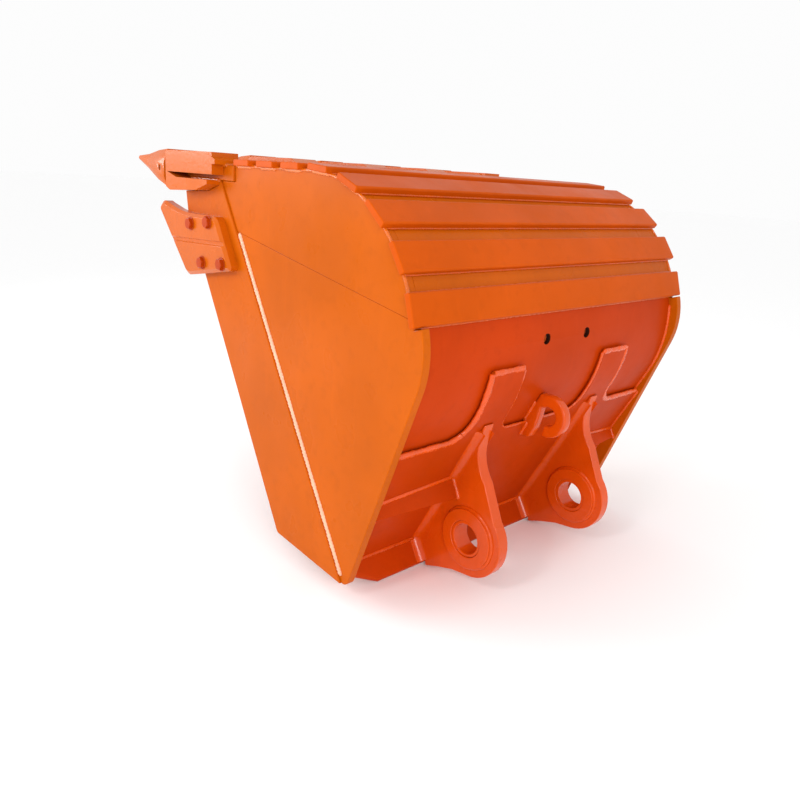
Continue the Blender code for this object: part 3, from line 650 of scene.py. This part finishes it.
def doubler_outline():
    """The doubler plate's upper outline for x of 0 and more, as (x, z)."""
    corner = DOUBLER_CORNER_R
    points = [(0.0, DOUBLER_EDGE_Z), (TONGUE_IN - corner, DOUBLER_EDGE_Z)]
    points += arc(TONGUE_IN - corner, DOUBLER_EDGE_Z + corner, corner, 270.0, 360.0, 6)
    points += [(TONGUE_IN, DOUBLER_TOP_Z), (TONGUE_OUT, DOUBLER_TOP_Z)]
    points += arc(*DOUBLER_SWEEP)
    points.append((SIDE_IN - CORNER_BEAD_GAP, DOUBLER_EDGE_Z))
    return points


def on_back(outline):
    """An (x, z) outline laid on the back of the bucket, at the doubler plate's edge."""
    flat = resample([Vector((x, 0.0, z)) for x, z in outline], OUTLINE_STEP)
    return [Vector((point.x, wrap_y(point.z, DOUBLER_WELD_OUT), point.z)) for point in flat]


def doubler_welds():
    half = doubler_outline()
    turn = half.index((TONGUE_IN, DOUBLER_TOP_Z))
    inner = [(-x, z) for x, z in reversed(half[1:turn + 1])] + half[:turn + 1]
    outer = [[(side * x, z) for x, z in half[turn:]] for side, _ in SIDES]
    kept_low = (BACK_FACING, LOW_BEAD)
    weld_piece("doubler_inner_weld", [on_back(inner)], radius=0.0090, paint=EAR_LIT_WELD,
               slot="shaded_orange_enamel", ripple=0.06, low=kept_low)
    weld_piece("doubler_outline_weld", [on_back(outline) for outline in outer], radius=0.0150,
               paint=EAR_LIT_WELD, slot="shaded_orange_enamel", ripple=0.06, low=kept_low)


def add_fillet(mesh_data, start, end, along_one, along_two, radius, steps=8):
    """A concave fillet from start to end, between two faces that run along the two directions."""
    rings = []
    for corner in (start, end):
        points = [corner - (along_one + along_two) * FILLET_SINK]
        centre = corner + (along_one + along_two) * radius
        for k in range(steps + 1):
            turn = 0.5 * math.pi * k / steps
            away = along_two * math.cos(turn) + along_one * math.sin(turn)
            points.append(centre - away * radius)
        rings.append([mesh_data.verts.new(point) for point in points])
    skin_rings(mesh_data, rings)


def ear_fillets():
    """The cast roots that blend each ear into the doubler plate and the rim bar."""
    start = back_point(EAR_ROOT_DOWN, DOUBLER_THICK)
    rim = back_point(BACK_LENGTH, DOUBLER_THICK)
    crease = back_point(BACK_LENGTH, RIM_BAR_OUT)
    corner = back_point(*RIM_CORNER)
    flange = Vector((0.0, corner[0] - crease[0], corner[1] - crease[1])).normalized()
    off_flange = Vector((0.0, flange.z, -flange.y))
    if off_flange.y > 0.0:
        off_flange.negate()
    for side, tag in SIDES:
        mesh_data = bmesh.new()
        for x, away in ((EAR_OUTER, 1.0), (EAR_INNER, -1.0)):
            outward = Vector((side * away, 0.0, 0.0))
            top, foot, inner, outer = at_x(side * x, [start, rim, crease, corner])
            add_fillet(mesh_data, top, foot, outward, BACK_FACING, EAR_ROOT_R)
            add_fillet(mesh_data, inner, outer - flange * RIM_ROOT_GAP, outward, off_flange, RIM_ROOT_R)
        root = new_piece("ear_root_" + tag, mesh_data, EAR)
        root.data.set_sharp_from_angle(angle=math.radians(40.0))


def ear_welds():
    runs = []
    for side, _ in SIDES:
        for at_ear, at_side in ((RIB_AT_EAR[0], RIB_AT_SIDE[0]), (RIB_UNDER_DOWN, RIB_UNDER_DOWN)):
            runs.append([Vector((side * EAR_OUTER, *back_point(at_ear, DOUBLER_THICK))),
                         Vector((side * SIDE_IN, *back_point(at_side, DOUBLER_THICK)))])
        for x, (start, outer) in ((EAR_OUTER, RIB_AT_EAR), (SIDE_IN, RIB_AT_SIDE)):
            runs.append(at_x(side * x, [back_point(start, DOUBLER_THICK), back_point(*outer),
                                        back_point(RIB_UNDER_DOWN, DOUBLER_THICK)]))
    rim = back_point(BACK_LENGTH, DOUBLER_THICK)
    runs.append([Vector((-SIDE_IN, *rim)), Vector((SIDE_IN, *rim))])
    weld_piece("ear_and_rib_welds", runs, radius=0.0090, paint=EAR_LIT_WELD, slot="shaded_orange_enamel",
               ripple=0.12)


def boss_welds():
    runs = []
    for side, _ in SIDES:
        for x in (EAR_INNER, EAR_OUTER):
            runs.append(at_x(side * x, arc(0.0, 0.0, BOSS_R, 0.0, 360.0, 72)))
    weld_piece("boss_ring_welds", runs, radius=0.0085, paint=EAR, ripple=0.06)


def adapter_half(y):
    """Half of an adapter's width at y."""
    low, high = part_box("tooth_adapter_1")
    return (high.x - low.x) / 2.0 - ADAPTER_FLARE * (ADAPTER_SHOULDER_Y - y)


def adapter_run(x, z, rear):
    """Round the rear of one adapter's leg at height z, and no further out than the end of the lip."""
    lip_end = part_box("lip_plate")[1].x
    run = [Vector((x - adapter_half(y), y, z)) for y in (LIP_BEVEL_Y, rear)]
    run += [Vector((x + adapter_half(y), y, z)) for y in (rear, LIP_BEVEL_Y)]
    for point in run:
        point.x = max(-lip_end, min(lip_end, point.x))
    return run


def lip_welds():
    runs = [[Vector((-SIDE_OUT, FLOOR_END_Y, z)), Vector((SIDE_OUT, FLOOR_END_Y, z))]
            for z in (FLOOR_Z - LIP_WELD_DROP, FLOOR_Z - WRAP_THICK)]
    weld_piece("lip_weld", runs, radius=0.0070, ripple=0.2, step=0.0035)
    outer_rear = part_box("tooth_adapter_1")[0].y
    legs = ((FLOOR_Z, outer_rear), (LIP_BOTTOM, ADAPTER_INNER_REAR_Y))
    runs = [adapter_run(tooth_x(number), z, rear) for number in range(TOOTH_COUNT) for z, rear in legs]
    weld_piece("adapter_welds", runs, radius=0.0080, ripple=0.2, step=0.0035)


def hook_welds():
    faces = [corner.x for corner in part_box("lifting_hook")]
    over = (back_point(0.0, DOUBLER_THICK)[1] - HOOK_FOOT_Z) / math.cos(BACK_SLOPE)
    path = [back_point(down, out) for down, out in (*HOOK_WELD_PATH, (over, DOUBLER_THICK))]
    weld_piece("hook_weld", [at_x(x, path) for x in faces], radius=0.008, paint=EAR_LIT_WELD,
               slot="shaded_orange_enamel")


# ---- castings and fasteners -------------------------------------------------------------------------
def mesh_object(name, mesh_data):
    bmesh.ops.recalc_face_normals(mesh_data, faces=mesh_data.faces)
    mesh = bpy.data.meshes.new(name)
    mesh_data.to_mesh(mesh)
    mesh_data.free()
    thing = bpy.data.objects.new(name, mesh)
    bpy.context.scene.collection.objects.link(thing)
    return thing


def settle(thing):
    """Turns the object's modifiers into its mesh."""
    graph = bpy.context.evaluated_depsgraph_get()
    mesh = bpy.data.meshes.new_from_object(thing.evaluated_get(graph))
    thing.modifiers.clear()
    thing.data = mesh


def cut(thing, cutters, solver="EXACT"):
    """Takes the cutters out of the object, and removes them."""
    for cutter in cutters:
        step = thing.modifiers.new("cut", "BOOLEAN")
        step.operation = "DIFFERENCE"
        step.solver = solver
        step.object = cutter
    settle(thing)
    for cutter in cutters:
        bpy.data.objects.remove(cutter)


def stand_for(thing, node, paint):
    """The piece takes the CAD node's place, paint and body."""
    thing.data.materials.clear()
    thing.data.materials.append(paint)
    thing.data.shade_smooth()
    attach(thing, BUCKET)
    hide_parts(node)


def ring_loft(name, outlines):
    """A solid skinned over outlines of the same number of points."""
    mesh_data = bmesh.new()
    skin_rings(mesh_data, [[mesh_data.verts.new(corner) for corner in outline] for outline in outlines])
    return mesh_object(name, mesh_data)


def tooth_section_z(y, upper):
    """Height of a tooth's upper or under face at y."""
    column = 2 if upper else 1
    for first, second in zip(TOOTH_SECTIONS, TOOTH_SECTIONS[1:]):
        if y <= second[0]:
            share = (y - first[0]) / (second[0] - first[0])
            return first[column] + share * (second[column] - first[column])
    return TOOTH_SECTIONS[-1][column]


def tooth_recess(name, low, high, upper):
    """A cutter for the shallow pan in a tooth's upper or under face."""
    middle = (low.x + high.x) / 2.0
    away = 1.0 if upper else -1.0
    rings = []
    for share, half in PAN_SECTIONS:
        y = low.y + share * (high.y - low.y)
        face = tooth_section_z(y, upper)
        floor = face - away * PAN_DEPTH
        edge = face + away * PAN_CLEAR
        rings.append([(middle - half, y, floor), (middle + half, y, floor),
                      (middle + half + PAN_FLARE, y, edge), (middle - half - PAN_FLARE, y, edge)])
    return ring_loft(name, rings)


def build_teeth():
    for number in range(1, TOOTH_COUNT + 1):
        node = "tooth_%d" % number
        low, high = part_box(node)
        tooth = mesh_object(node + "_casting", solid_copy(node))
        cut(tooth, [tooth_recess("pan_%s_%d" % (tag, number), low, high, tag == "upper")
                    for tag in ("upper", "under")])
        round_edges(tooth, width=0.0042, segments=3)
        stand_for(tooth, node, CAST)


def hex_radius(angle, apothem):
    return apothem / math.cos((angle % (math.pi / 3.0)) - math.pi / 6.0)


def circle_point(centre, radius, angle):
    return (centre[0] + radius * math.cos(angle), centre[1] + radius * math.sin(angle))


def add_hex(mesh_data, centre, side, foot, top, turn, steps=48):
    """A hexagon head or nut from x = foot to x = top, with its corners turned off and a low dome."""
    crown = BOLT_APOTHEM * BOLT_CROWN
    slope = math.tan(math.radians(30.0)) * (top - foot) / abs(top - foot)
    rings = [[], [], [], []]
    for k in range(steps):
        angle = 2.0 * math.pi * k / steps
        corner = hex_radius(angle, BOLT_APOTHEM)
        profile = ((foot, corner), (top - (corner - crown) * slope, corner), (top, crown),
                   (top + BOLT_DOME_RISE * slope, crown * BOLT_DOME))
        for ring, (x, radius) in zip(rings, profile):
            ring.append(mesh_data.verts.new((side * x, *circle_point(centre, radius, angle + turn))))
    skin_rings(mesh_data, rings)


def add_turned(mesh_data, centre, side, profile, steps=40):
    """A closed turned shape along X through (x, radius) points."""
    angles = [2.0 * math.pi * k / steps for k in range(steps)]
    rings = [[mesh_data.verts.new((side * x, *circle_point(centre, radius, angle))) for angle in angles]
             for x, radius in profile]
    skin_rings(mesh_data, rings)


def thread_profile(start, end):
    """The (x, radius) points of a thread that runs from x = start down to x = end."""
    profile = []
    x = start
    while x > end + THREAD_PITCH:
        profile += [(x, THREAD_CREST_R), (x - THREAD_PITCH / 2.0, THREAD_ROOT_R)]
        x -= THREAD_PITCH
    return profile + [(end, THREAD_END_R)]


def build_bolts():
    washer_top = PROTECTOR_OUT + WASHER_THICK
    washer = ((PROTECTOR_OUT + WASHER_GAP, WASHER_R), (washer_top - WASHER_CHAMFER, WASHER_R),
              (washer_top, WASHER_R - WASHER_CHAMFER))
    for side, tag in SIDES:
        for number in range(1, BOLT_COUNT + 1):
            node = "protector_bolt_%s_%d" % (tag, number)
            low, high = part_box(node)
            centre = ((low.y + high.y) / 2.0, (low.z + high.z) / 2.0)
            head_top = max(abs(low.x), abs(high.x))
            tail = min(abs(low.x), abs(high.x))
            nut_top = tail + NUT_END
            turn = math.radians(BOLT_TURN * (number - 1))
            mesh_data = bmesh.new()
            head_foot = PROTECTOR_OUT + HEAD_START
            add_hex(mesh_data, centre, side, head_foot, head_top - BOLT_DOME_RISE, turn)
            add_turned(mesh_data, centre, side, washer)
            add_hex(mesh_data, centre, side, BAR_IN - NUT_GAP, nut_top, turn)
            add_turned(mesh_data, centre, side, thread_profile(nut_top + THREAD_INSIDE, tail), steps=32)
            bolt = mesh_object(node + "_hardware", mesh_data)
            round_edges(bolt, width=0.0012)
            stand_for(bolt, node, BOLT)


def guard_blank(name, side, near):
    """A guard's outline with soft corners, raised from x = near to a face inside a wide chamfer."""
    mesh_data = bmesh.new()
    corners = [mesh_data.verts.new((side * near, y, z)) for y, z in PROTECTOR_CORNERS]
    mesh_data.faces.new(corners)
    soft = [corners[k] for k in PROTECTOR_SOFT]
    bmesh.ops.bevel(mesh_data, geom=soft, offset=GUARD_CORNER_R, offset_type="OFFSET", segments=5,
                    profile=0.5, affect="VERTICES", clamp_overlap=True)
    raised = bmesh.ops.extrude_face_region(mesh_data, geom=list(mesh_data.faces))["geom"]
    top = [item for item in raised if isinstance(item, bmesh.types.BMVert)]
    face = [item for item in raised if isinstance(item, bmesh.types.BMFace)]
    shoulder = PROTECTOR_OUT - near - GUARD_FALL
    bmesh.ops.translate(mesh_data, verts=top, vec=(side * shoulder, 0.0, 0.0))
    bmesh.ops.recalc_face_normals(mesh_data, faces=mesh_data.faces)
    bmesh.ops.inset_region(mesh_data, faces=face, thickness=GUARD_BORDER, depth=0.0)
    bmesh.ops.translate(mesh_data, verts=face[0].verts, vec=(side * GUARD_FALL, 0.0, 0.0))
    return mesh_object(name, mesh_data)


def guard_groove(name, side):
    """A cutter for the groove across a guard."""
    (rear_y, rear_z), (front_y, front_z) = GUARD_GROOVE
    outlines = []
    for x, half in ((PROTECTOR_OUT - GUARD_GROOVE_DEPTH, GUARD_GROOVE_HALF),
                    (PROTECTOR_OUT + 0.002, GUARD_GROOVE_TOP_HALF)):
        outlines.append([(side * x, rear_y, rear_z - half), (side * x, front_y, front_z - half),
                         (side * x, front_y, front_z + half), (side * x, rear_y, rear_z + half)])
    return ring_loft(name, outlines)


def build_protectors():
    """Cast guards with a wide chamfer, a groove across the middle, and soft corners."""
    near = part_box("side_protector_right")[0].x
    for side, tag in SIDES:
        node = "side_protector_" + tag
        guard = guard_blank(node + "_casting", side, near)
        cut(guard, [guard_groove("groove_" + tag, side)], "MANIFOLD")
        round_edges(guard, width=0.0030, segments=3, harden=False)
        stand_for(guard, node, CAST)
        guard.data.set_sharp_from_angle(angle=math.radians(22.0))


def build_hook():
    """A forged hook: the plate hook's solid with every edge worn round."""
    node = "lifting_hook"
    hook = mesh_object(node + "_forging", solid_copy(node))
    skin = hook.modifiers.new("skin", "REMESH")
    skin.mode = "VOXEL"
    skin.voxel_size = 0.0035
    worn = hook.modifiers.new("worn", "SMOOTH")
    worn.factor = 0.5
    worn.iterations = 26
    settle(hook)
    stand_for(hook, node, EAR)


def paint_drain_hole_shade():
    """Painted shade: a dark lining on the wall of the two drain holes, for the shade seen through them.
    """
    section = ((DRAIN_HOLE_R + 0.0005, 0.0012), (DRAIN_HOLE_R + 0.0005, WRAP_THICK - 0.0012),
               (DRAIN_HOLE_R - 0.0020, WRAP_THICK - 0.0030), (DRAIN_HOLE_R - 0.0015, 0.0030))
    angles = [2.0 * math.pi * k / DRAIN_SHADE_STEPS for k in range(DRAIN_SHADE_STEPS)]
    for side, tag in SIDES:
        mesh_data = bmesh.new()
        rings = []
        for radius, depth in section:
            ring = []
            for angle in angles:
                x, z = circle_point((side * DRAIN_HOLE_X, DRAIN_HOLE_Z), radius, angle)
                ring.append(mesh_data.verts.new((x, HEEL_Y - HEEL_R + depth, z)))
            rings.append(ring)
        skin_rings(mesh_data, rings + rings[:1], caps=False)
        new_piece("drain_hole_painted_shade_" + tag, mesh_data, DRAIN_SHADE_PAINT)


# ---- stage, lights and camera ---------------------------------------------------------------------
def make_stage():
    mesh = bpy.data.meshes.new("studio_floor")
    reach = 60.0
    level = CAD_LOW.z - 0.002
    corners = [(-reach, -reach, level), (reach, -reach, level),
               (reach, reach, level), (-reach, reach, level)]
    mesh.from_pydata(corners, [], [(0, 1, 2, 3)])
    floor = bpy.data.objects.new("studio_floor", mesh)
    bpy.context.scene.collection.objects.link(floor)
    paper = bpy.data.materials.new("studio_paper")
    paper.use_nodes = True
    shader = paper.node_tree.nodes["Principled BSDF"]
    shader.inputs["Base Color"].default_value = (0.99, 0.99, 0.99, 1.0)
    shader.inputs["Roughness"].default_value = 0.9
    shader.inputs["Specular IOR Level"].default_value = 0.1
    mesh.materials.append(paper)


def add_light(name, place, target, size, power):
    light = bpy.data.lights.new(name, "AREA")
    light.shape = "RECTANGLE"
    light.size, light.size_y = size
    light.energy = power
    thing = bpy.data.objects.new(name, light)
    bpy.context.scene.collection.objects.link(thing)
    thing.location = place
    way = Vector(target) - Vector(place)
    thing.rotation_euler = way.to_track_quat("-Z", "Y").to_euler()


def make_lights():
    world = bpy.data.worlds.new("studio_air")
    world.use_nodes = True
    back = world.node_tree.nodes["Background"]
    back.inputs["Color"].default_value = (1.0, 1.0, 1.0, 1.0)
    back.inputs["Strength"].default_value = 0.98
    bpy.context.scene.world = world
    add_light("key_softbox", (-4.4, -0.6, 3.2), (0.0, 0.4, 0.5), (0.7, 0.7), 40.0)
    add_light("window_light", (-3.6, 4.2, 1.9), (-0.7, 0.4, 1.0), (2.6, 1.1), 110.0)
    add_light("front_softbox", (-2.9, -3.8, 2.0), (0.0, 0.1, 0.4), (1.6, 1.6), 75.0)
    bpy.context.scene.view_settings.view_transform = "Standard"


def make_camera():
    camera = bpy.data.cameras.new("camera")
    camera.sensor_width = 36.0
    camera.lens = 32.136
    camera.shift_x = 0.0005
    camera.shift_y = -0.02375
    thing = bpy.data.objects.new("camera", camera)
    bpy.context.scene.collection.objects.link(thing)
    turn = Euler([math.radians(angle) for angle in (74.0576, -3.5586, -42.2167)]).to_matrix().to_4x4()
    thing.matrix_world = Matrix.Translation((-2.1033, -1.4748, 1.2117)) @ turn
    bpy.context.scene.camera = thing


make_camera()
make_stage()
make_lights()
finish_nodes()
build_teeth()
build_bolts()
build_protectors()
build_hook()
side_welds()
ear_fillets()
strip_welds()
doubler_welds()
ear_welds()
boss_welds()
lip_welds()
hook_welds()
paint_drain_hole_shade()
